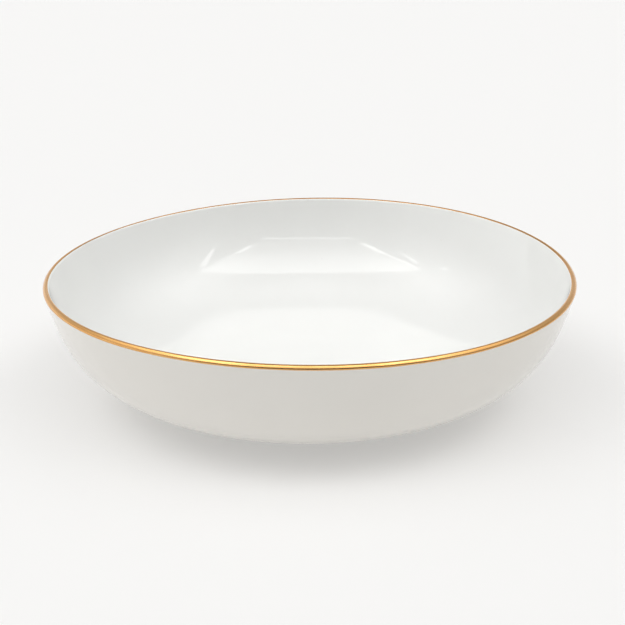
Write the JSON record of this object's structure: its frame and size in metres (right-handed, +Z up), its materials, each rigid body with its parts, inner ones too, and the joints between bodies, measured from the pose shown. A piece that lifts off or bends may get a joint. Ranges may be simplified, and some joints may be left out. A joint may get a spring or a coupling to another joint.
{
  "type": "serving bowl",
  "caption": "Shallow round coupe serving bowl in white glazed porcelain, with a gold-banded lip and a low foot ring.",
  "frame": {"origin": "centre of the foot ring's resting plane", "axes": "+Z up along the bowl's axis; X and Y are level, and the bowl is the same all round apart from the rim's slight kiln warp, which is highest at bearings of 66 and 246 degrees from +X"},
  "size_m": [0.26, 0.26, 0.0636],
  "materials": {
    "porcelain": "matte",
    "glaze": "polished",
    "gilt": "gloss"
  },
  "bodies": {
    "root": {"porcelain_body": "porcelain", "glaze_coat": "glaze", "foot_well_glaze": "glaze", "gilt_rim_band": "gilt"}
  },
  "joints": []
}
